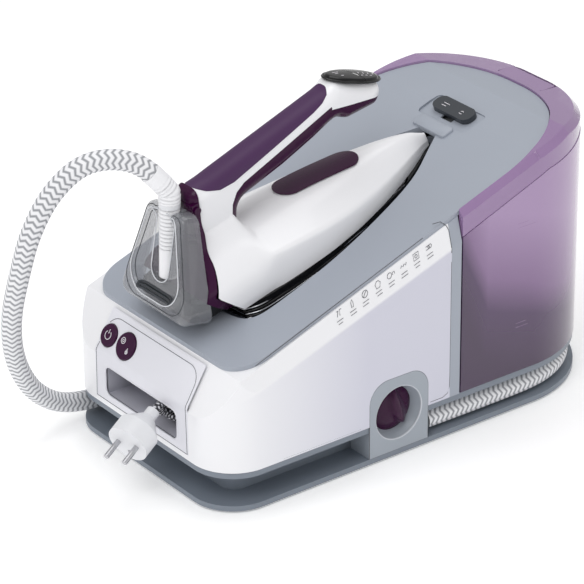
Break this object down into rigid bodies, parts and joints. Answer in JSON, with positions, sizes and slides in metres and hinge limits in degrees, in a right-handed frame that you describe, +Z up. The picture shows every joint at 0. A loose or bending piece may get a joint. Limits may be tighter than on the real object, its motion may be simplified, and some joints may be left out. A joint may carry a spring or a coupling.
{
  "type": "steam generator iron",
  "caption": "Steam generator ironing station: wedge-shaped base with wrap-around water tank, hose groove and a lift-off iron on an inclined rest.",
  "frame": {"origin": "middle of the base on its support plane", "axes": "-X to the front face with the buttons, +X to the water tank, -Y to the side with the filter dial, +Z up"},
  "size_m": [0.5422, 0.237, 0.3206],
  "materials": {
    "white_gloss": "smooth gloss",
    "deck_grey": "fine satin",
    "base_grey": "fine satin",
    "rubber_black": "matte",
    "rubber_white": "matte",
    "panel_dark": "satin",
    "slot_grey": "satin",
    "trim_grey": "satin",
    "purple_gloss": "polished",
    "purple_soft": "soft touch",
    "clear_grey": "clear",
    "tank_tint": "clear tinted",
    "valve_plastic": "satin",
    "skirt_black": "satin",
    "sole_steel": "polished edge",
    "cast_aluminium": "as cast",
    "steel_inner": "plain",
    "brass_inner": "plain",
    "lagging": "felt",
    "board_green": "lacquered",
    "inner_plastic": "plain",
    "silicone": "plain",
    "braid": "zigzag braid",
    "textile": "textile wrapped",
    "plug_white": "satin",
    "pin_nickel": "plated"
  },
  "bodies": {
    "station": {"base_screws": "steel_inner", "base_tray": "base_grey", "body_shell": "white_gloss", "boiler": "steel_inner", "boiler_lagging": "lagging", "boiler_saddles": "steel_inner", "boiler_thermostat": "inner_plastic", "cable_compartment": "slot_grey", "cord_gland": "trim_grey", "deck_cover": "deck_grey", "dial_housing": "deck_grey", "front_panel": "white_gloss", "heating_element": "steel_inner", "hose_gland": "trim_grey", "key_board": "board_green", "main_board": "board_green", "mains_cord": "textile", "mains_hank": "textile", "mains_plug": "plug_white", "plug_pins": "pin_nickel", "rest_pads": "rubber_black", "rubber_feet": "rubber_black", "safety_valve": "brass_inner", "solenoid_valve": "brass_inner", "steam_hose": "braid", "steam_pipe": "steel_inner", "tank_bulkhead": "deck_grey", "tank_socket": "trim_grey", "water_pipe": "silicone", "water_pump": "inner_plastic"},
    "iron": {"soleplate": "sole_steel", "steam_chamber": "cast_aluminium", "heat_skirt": "skirt_black", "iron_handle": "white_gloss", "soft_grip": "purple_soft", "grip_lining": "purple_gloss", "heel_frame": "purple_gloss", "iron_shell": "white_gloss", "heel_stand": "clear_grey", "heel_block": "skirt_black", "hose_strain_relief": "rubber_white", "relief_collar": "rubber_black", "hose_sleeve": "rubber_white", "shell_badge": "purple_gloss", "pivot_discs": "purple_gloss", "iron_thermostat": "inner_plastic"},
    "trigger": {"steam_trigger": "purple_gloss"},
    "temperature_key": {"temperature_key": "skirt_black"},
    "mode_key": {"mode_key": "skirt_black"},
    "nose_lock": {"lock_slider": "panel_dark", "latch_tongue": "trim_grey"},
    "dial": {"dial_knob": "purple_gloss", "filter_cartridge": "trim_grey"},
    "tank": {"water_tank": "tank_tint", "tank_lid": "tank_tint", "tank_valve": "valve_plastic"},
    "flap": {"fill_flap": "tank_tint"},
    "power_button": {"power_button": "purple_gloss"},
    "mode_button": {"mode_button": "purple_gloss"}
  },
  "joints": [
    {"name": "iron_lift", "type": "slide", "parent": "station", "child": "iron", "axis": [-0.2785, 0, 0.9604], "range_m": [0, 0.12], "deforming": ["steam_hose"]},
    {"name": "steam_trigger_pull", "type": "slide", "parent": "iron", "child": "trigger", "axis": [-0.2785, 0, 0.9604], "range_m": [0, 0.004], "stiffness_N_per_m": 600, "springref_m": -0.003},
    {"name": "temperature_key_press", "type": "slide", "parent": "iron", "child": "temperature_key", "axis": [-0.2322, 0, -0.9727], "range_m": [0, 0.001], "stiffness_N_per_m": 1500, "springref_m": -0.001},
    {"name": "mode_key_press", "type": "slide", "parent": "iron", "child": "mode_key", "axis": [-0.2322, 0, -0.9727], "range_m": [0, 0.001], "stiffness_N_per_m": 1500, "springref_m": -0.001},
    {"name": "nose_lock_slide", "type": "slide", "parent": "station", "child": "nose_lock", "axis": [-0.9409, 0, -0.3387], "range_m": [0, 0.008]},
    {"name": "filter_dial_turn", "type": "hinge", "parent": "station", "child": "dial", "pos_m": [-0.035, -0.1, 0.043], "axis": [0, -1, 0], "range_deg": [0, 90]},
    {"name": "tank_slide", "type": "slide", "parent": "station", "child": "tank", "axis": [1, 0, 0], "range_m": [0, 0.15]},
    {"name": "fill_flap_swing", "type": "hinge", "parent": "tank", "child": "flap", "pos_m": [0.2144, 0, 0.2556], "axis": [0, 1, 0], "range_deg": [0, 100]},
    {"name": "power_button_press", "type": "slide", "parent": "station", "child": "power_button", "axis": [0.8575, 0, -0.5145], "range_m": [0, 0.002], "stiffness_N_per_m": 1000, "springref_m": -0.001},
    {"name": "mode_button_press", "type": "slide", "parent": "station", "child": "mode_button", "axis": [0.8575, 0, -0.5145], "range_m": [0, 0.002], "stiffness_N_per_m": 1000, "springref_m": -0.001}
  ]
}
